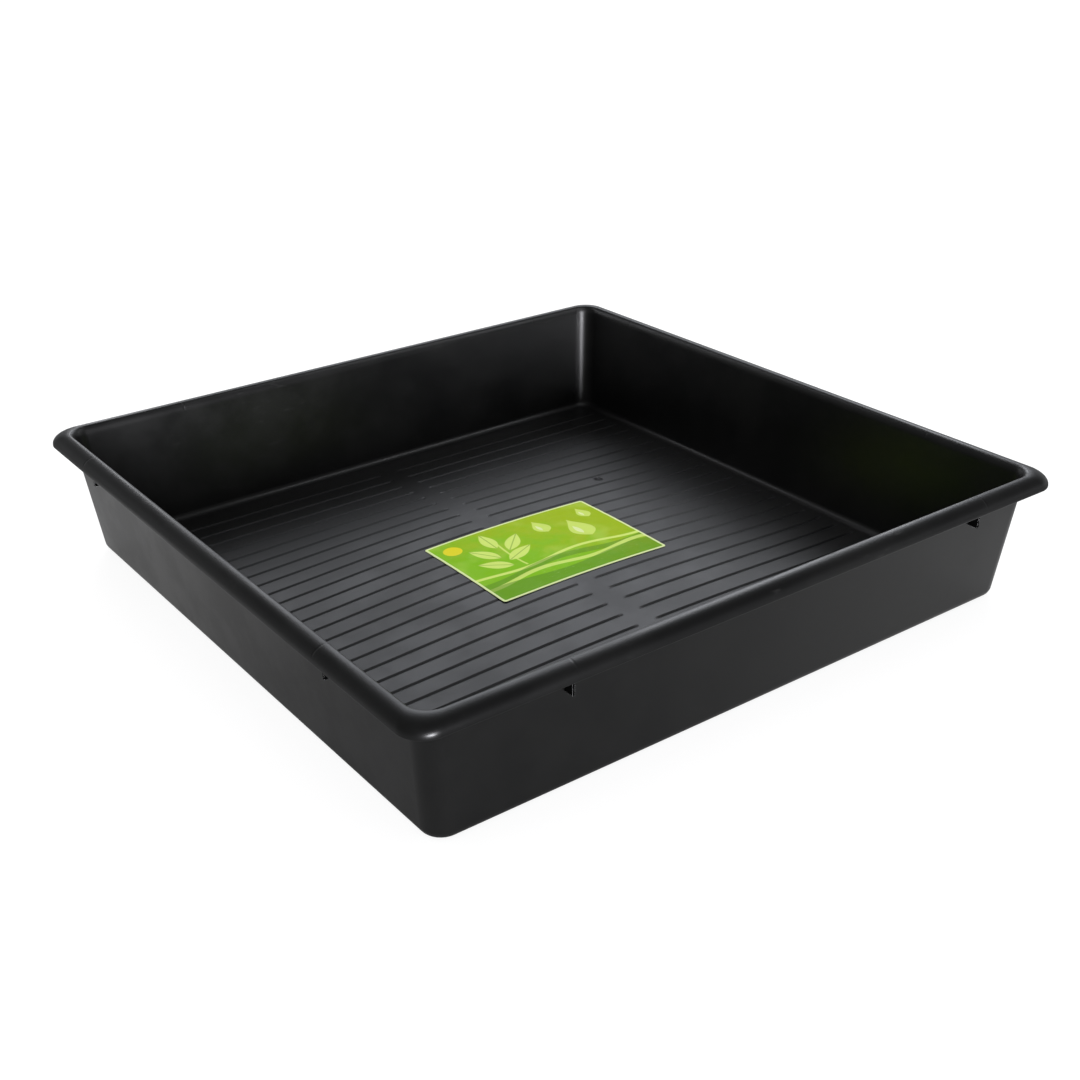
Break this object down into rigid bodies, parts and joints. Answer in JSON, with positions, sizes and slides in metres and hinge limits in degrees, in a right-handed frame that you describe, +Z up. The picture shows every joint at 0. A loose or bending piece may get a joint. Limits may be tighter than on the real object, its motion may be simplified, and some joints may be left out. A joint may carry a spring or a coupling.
{
  "type": "watering tray",
  "caption": "Deep square watering tray for potted plants, with a rounded carrying rim, sloping walls, a domed grooved floor and a printed label.",
  "frame": {"origin": "centre of the square that the tray stands on, at standing height", "axes": "+Z up out of the open tray; +X along the floor's grooves and along the label's long side; +Y along the label's short side"},
  "size_m": [0.7, 0.7, 0.128],
  "materials": {
    "tray_plastic": "satin black moulded plastic, slightly mottled",
    "label_print": "coated printed label film in yellow-green and green with a pale border"
  },
  "bodies": {
    "root": {"tray": "tray_plastic", "label": "label_print"}
  },
  "joints": []
}
